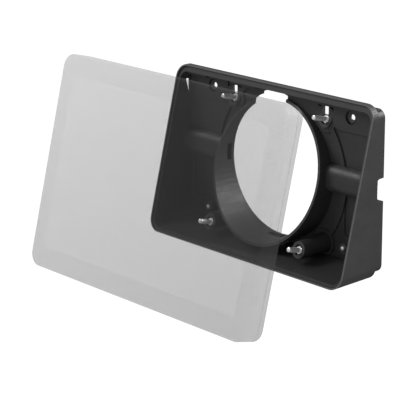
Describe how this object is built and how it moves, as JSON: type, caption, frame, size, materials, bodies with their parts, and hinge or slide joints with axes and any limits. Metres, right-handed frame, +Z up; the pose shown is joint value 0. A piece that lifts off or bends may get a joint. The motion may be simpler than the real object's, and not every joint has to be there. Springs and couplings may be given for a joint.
{
  "type": "smart display with angled wall mount",
  "caption": "Wide touch display drawn off an angled wall mount: deep hollow wedge with a collared opening, cable channels and round-headed hanging studs.",
  "frame": {"origin": "on the mount's flat back, on the centreline, 5.6 mm above its bottom edge", "axes": "+X to the right seen from the front, +Y straight into the wall, +Z up; the wall is the plane y = 0"},
  "size_m": [0.245, 0.1594, 0.1676],
  "materials": {
    "mount_plastic": "fine moulded grain",
    "post_screw_steel": "turned",
    "stud_chrome": "polished",
    "cover_glass": "black-backed and polished",
    "case_plastic": "fine moulded grain",
    "touch_film": "clear film",
    "lcd_glass": "polarised glass",
    "backlight": "white reflector",
    "sheet_metal": "tinned sheet",
    "copper_foil": "copper foil on film",
    "connector_plastic": "plain moulded",
    "circuit_board": "solder mask",
    "spreader_aluminium": "stamped sheet",
    "jack_shell": "tinned sheet",
    "speaker_plastic": "plain moulded",
    "light_guide": "milky diffuser",
    "screw_steel": "zinc plated",
    "spring_steel": "stamped spring strip"
  },
  "bodies": {
    "mount": {"mount_housing": "mount_plastic", "post_screw_left": "post_screw_steel", "post_screw_right": "post_screw_steel", "display_stud_bottom_left": "stud_chrome", "display_stud_bottom_right": "stud_chrome", "display_stud_top_left": "stud_chrome", "display_stud_top_right": "stud_chrome"},
    "display": {"cover_glass": "cover_glass", "front_frame": "case_plastic", "rear_cover": "case_plastic", "touch_sensor": "touch_film", "lcd_panel": "lcd_glass", "backlight_unit": "backlight", "lcd_bracket": "sheet_metal", "display_flex": "copper_foil", "flex_connector": "connector_plastic", "main_board": "circuit_board", "processor_shield": "sheet_metal", "heat_spreader": "spreader_aluminium", "ethernet_jack": "jack_shell", "usb_c_jack": "jack_shell", "microphone_board": "circuit_board", "light_sensor": "connector_plastic", "speaker_left": "speaker_plastic", "speaker_right": "speaker_plastic", "antenna_left": "copper_foil", "antenna_right": "copper_foil", "status_light_left": "light_guide", "status_light_right": "light_guide", "light_board_left": "circuit_board", "light_board_right": "circuit_board", "board_screw_lower_left": "screw_steel", "board_screw_lower_right": "screw_steel", "board_screw_upper_left": "screw_steel", "board_screw_upper_right": "screw_steel", "stud_clip_bottom_left": "spring_steel", "stud_clip_bottom_right": "spring_steel", "stud_clip_top_left": "spring_steel", "stud_clip_top_right": "spring_steel", "case_screw_bottom_left": "screw_steel", "case_screw_bottom_right": "screw_steel", "case_screw_top_left": "screw_steel", "case_screw_top_right": "screw_steel"}
  },
  "joints": [
    {"name": "display_seating", "type": "slide", "parent": "mount", "child": "display", "axis": [0, 1, 0], "range_m": [0, 0.0922]}
  ]
}
